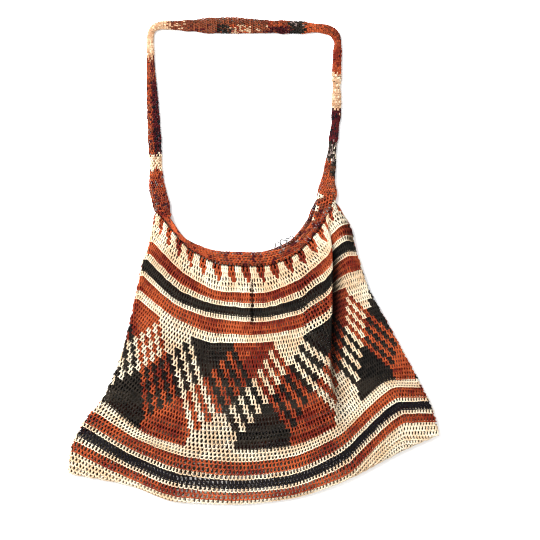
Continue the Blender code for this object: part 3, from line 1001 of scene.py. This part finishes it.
# Lengths of the strap in one mix of yarns, each from where the last one ends. The strap's inner
# side faces the opening between its arms, and has the outer side's mix where it has none here.
ROOT_OUTER = ((RUST, 0.45), (UMBER, 0.30), (MAROON, 0.17), (GREY, 0.08))
ROOT_INNER = ((RUST, 0.72), (MAROON, 0.22), (GREY, 0.06))
FOOT_INNER = ((RUST, 0.76), (MAROON, 0.20), (GREY, 0.04))
STRAP_MIX = (
    # end   outer yarns and shares                            inner yarns and shares
    (32.0,  ROOT_OUTER,                                       ROOT_INNER),
    (45.0,  ((RUST, 0.70), (UMBER, 0.20), (MAROON, 0.10)),    FOOT_INNER),
    (62.0,  ((CREAM, 0.80), (TAN, 0.20))),
    (154.0, ((UMBER, 0.50), (RUST, 0.36), (MAROON, 0.14)),    ((MAROON, 0.80), (NAVY, 0.20))),
    (180.0, ((UMBER, 0.60), (RUST, 0.40)),                    ((UMBER, 0.60), (MAROON, 0.40))),
    (236.0, ((CREAM, 0.12), (TAN, 0.88))),
    (258.0, ((UMBER, 0.62), (BROWN, 0.20), (TAN, 0.18)),      ((UMBER, 0.80), (TAN, 0.20))),
    (293.0, ((UMBER, 0.70), (BROWN, 0.30)),                   ((UMBER, 0.80), (MAROON, 0.20))),
    (310.0, ((UMBER, 0.85), (BROWN, 0.15)),                   ((CHARCOAL, 0.75), (BROWN, 0.25))),
    (333.0, ((UMBER, 0.85), (BROWN, 0.15)),                   ((RUST, 0.50), (TAN, 0.50))),
    (352.0, ((UMBER, 0.80), (BROWN, 0.20)),                   ((UMBER, 0.75), (TAN, 0.25))),
    (379.0, ((RUST, 0.50), (UMBER, 0.50)),                    ((MAROON, 0.80), (UMBER, 0.20))),
    (398.0, ((CHARCOAL, 0.70), (GREY, 0.30)),                 ((CHARCOAL, 0.85), (BROWN, 0.15))),
    (455.0, ((RUST, 0.70), (UMBER, 0.30)),                    ((RUST, 0.80), (UMBER, 0.20))),
    (482.0, ((RUST, 0.85), (MAROON, 0.15)),                   ((RUST, 1.00),)),
    (525.0, ((CREAM, 0.18), (TAN, 0.82))),
    (566.0, ((MAROON, 0.85), (NAVY, 0.15)),                   ((NAVY, 0.30), (MAROON, 0.70))),
    (588.0, ((GREY, 0.40), (CHARCOAL, 0.45), (CREAM, 0.15)),  ((CHARCOAL, 0.75), (GREY, 0.25))),
    (606.0, ((CHARCOAL, 0.50), (BROWN, 0.50)),                ((RUST, 0.60), (UMBER, 0.40))),
    (700.0, ((RUST, 0.70), (UMBER, 0.30)),                    ((RUST, 0.75), (UMBER, 0.25))),
)
STRAP_BLEND = 2.5  # how far the yarns of two lengths run into each other
INNER_COS = 0.1  # cosine of the place round the strap where its inner side starts


def strap_colours(walked):
    """The yarns of one row of the strap, this far along it, where two lengths may mix."""
    yarn = np.empty(STRAP_WALES, int)
    for wale in range(STRAP_WALES):
        place = walked - STRAP_END + hand.normal(0.0, STRAP_BLEND)
        mix = next(row for row in STRAP_MIX if place < row[0])
        inner = math.cos(TURN * (wale + 0.5) / STRAP_WALES) > INNER_COS
        yarn[wale] = drawn(mix[-1 if inner else 1])
    return yarn


STRAP_STEPS, ROUND_STEPS = 600, 48  # steps along the strap's line, and round it
STRAP_BOXY = 0.8  # under 1, its section is fuller than an oval
STRAP_RAGGED, RAGGED_STEPS = 0.5, 12  # how far its edges wander, and its cloth's steps to each bump
# Its cloth is this far inside its half width and half thickness, and at least this big.
WIDE_INSIDE, WIDE_LEAST = 1.0, 1.8
THICK_INSIDE, THICK_LEAST = 1.4, 1.0
STRAP_LIFT = 1.6  # height of its cloth's lowest side


def strap_cloth():
    """The strap as a flat tube: its rows are rings round it, one after the other along it."""
    columns = np.array([row[1:] for row in STRAP_LINE], float)
    fine = smooth(columns, np.linspace(0.0, len(columns) - 1, STRAP_STEPS))
    walked = lengths(np.column_stack([fine[:, :2], 0.5 * fine[:, 3]]))
    rows = int(walked[-1] / STRAP_PITCH)
    at = np.arange(TOP_ROW, rows + 1.0, Cloth.STEP) / rows * walked[-1]
    x, y, width, thickness = (np.interp(at, walked, column) for column in fine.T)
    run = unit(np.column_stack([np.gradient(x), np.gradient(y)]))
    side = np.column_stack([run[:, 1], -run[:, 0], np.zeros(len(run))])
    bumps = hand.normal(0.0, STRAP_RAGGED, len(at) // RAGGED_STEPS + 2)
    ragged = np.interp(np.arange(len(at)), np.arange(len(bumps)) * RAGGED_STEPS, bumps)
    wide = np.maximum(0.5 * width - WIDE_INSIDE + ragged, WIDE_LEAST)
    thick = np.maximum(0.5 * thickness - THICK_INSIDE, THICK_LEAST)
    angle = TURN * np.arange(ROUND_STEPS + 1) / ROUND_STEPS
    cos, sin = np.cos(angle), np.sin(angle)
    out = np.sign(cos) * np.abs(cos) ** STRAP_BOXY
    middle = np.column_stack([x, y, thick + STRAP_LIFT])
    points = middle[:, None] + side[:, None] * (wide[:, None] * out)[..., None]
    points[:, :, 2] += thick[:, None] * sin
    return Cloth(points, TOP_ROW, STRAP_WALES, ring=True), rows, walked[-1]


def lay_strap():
    """Works the strap in short rounds from its left end to its right."""
    cloth, rows, length = strap_cloth()
    work = Work("carrying_strap_loops")
    for row in range(rows + 1):
        laid = strand(cloth, row, 0.5 * (row % 2), STRAP_WALES, STRAP_POINTS, **STRAP_LAY)
        yarn = np.repeat(strap_colours(row / rows * length), STRAP_POINTS)
        work.add(laid, yarn, True, STRAP_SHADE_GAIN)
    piece = work.finish()
    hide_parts("carrying_strap")
    net_size(STRAP_WALES, rows, STRAP_NET)


lay_strap()

# ---------------- floor, light and camera

CAMERA_AIM = (19.8, -11.4)  # the spot right under the camera
FRAME_WIDTH = 648.0  # width of the surface that the camera sees
LENS, SENSOR = 120.0, 36.0
FLOOR_SIZE, FLOOR_DROP = 6.0, 0.0003  # in metres; the floor lies just under the bag
SKY_STRENGTH = 1.15
KEY_PLACE, KEY_SIZE, KEY_POWER = (-1.3, 0.9, 1.7), 1.2, 110.0  # in metres and watts
FLOOR_WHITE = (0.92, 0.92, 0.92, 1.0)


def pale_floor():
    bpy.ops.object.select_all(action="DESELECT")
    bpy.ops.mesh.primitive_plane_add(size=FLOOR_SIZE, location=(0.0, 0.0, -FLOOR_DROP))
    floor = bpy.context.object
    floor.name = "floor"
    material = bpy.data.materials.new("pale_floor")
    material.use_nodes = True
    shader = material.node_tree.nodes["Principled BSDF"]
    shader.inputs["Base Color"].default_value = FLOOR_WHITE
    shader.inputs["Roughness"].default_value = 0.9
    floor.data.materials.append(material)


def soft_light():
    """White light from all round, and one large lamp from the upper left."""
    world = bpy.data.worlds.new("studio")
    world.use_nodes = True
    sky = world.node_tree.nodes["Background"]
    sky.inputs["Color"].default_value = (1.0, 1.0, 1.0, 1.0)
    sky.inputs["Strength"].default_value = SKY_STRENGTH
    bpy.context.scene.world = world
    light = bpy.data.lights.new("key", "AREA")
    light.size = KEY_SIZE
    light.energy = KEY_POWER
    lamp = bpy.data.objects.new("key", light)
    lamp.location = KEY_PLACE
    lamp.rotation_euler = (-Vector(KEY_PLACE)).to_track_quat("-Z", "Y").to_euler()
    bpy.context.scene.collection.objects.link(lamp)


def overhead_camera():
    camera = bpy.data.cameras.new("overhead")
    camera.lens = LENS
    camera.sensor_width = SENSOR
    viewer = bpy.data.objects.new("overhead", camera)
    height = FRAME_WIDTH * LENS / SENSOR
    viewer.location = (CAMERA_AIM[0] * MM, CAMERA_AIM[1] * MM, height * MM)
    bpy.context.scene.collection.objects.link(viewer)
    bpy.context.scene.camera = viewer


pale_floor()
soft_light()
overhead_camera()
bpy.context.scene.view_settings.view_transform = "Standard"
bpy.context.scene.cycles.filter_width = 1.0
